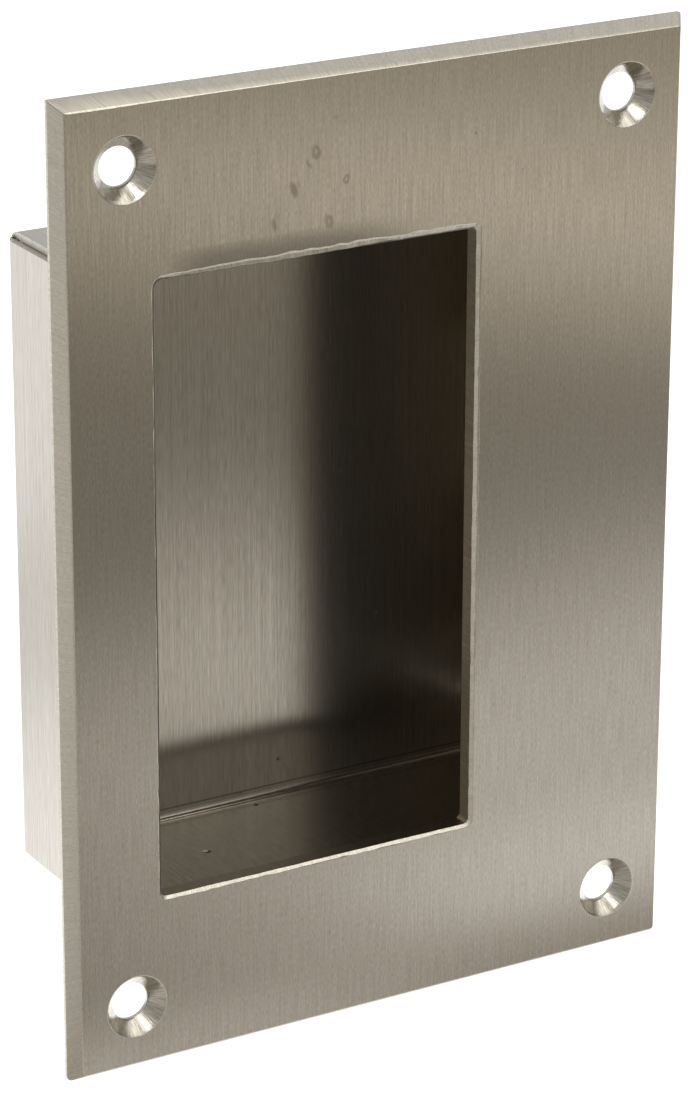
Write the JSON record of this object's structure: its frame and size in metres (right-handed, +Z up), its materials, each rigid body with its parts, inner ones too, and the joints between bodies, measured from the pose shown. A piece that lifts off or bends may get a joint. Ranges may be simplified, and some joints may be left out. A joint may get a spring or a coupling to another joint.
{
  "type": "flush pull",
  "caption": "Rectangular flush pull: a bevelled face plate with countersunk screw holes and an off-centre opening into a folded recess box for the fingers.",
  "frame": {"origin": "centre of the plate's back face, which lies on the door, midway between the screw holes", "axes": "+X right across the plate, +Y into the door, away from the user, +Z up along the plate's height"},
  "size_m": [0.0888, 0.0237, 0.127],
  "materials": {
    "plate_steel": "satin, brushed upright",
    "sheet_steel": "satin, fine upright grain",
    "weld_steel": "as welded"
  },
  "bodies": {
    "root": {"face_plate": "plate_steel", "pull_box": "sheet_steel", "weld_beads": "weld_steel"}
  },
  "joints": []
}
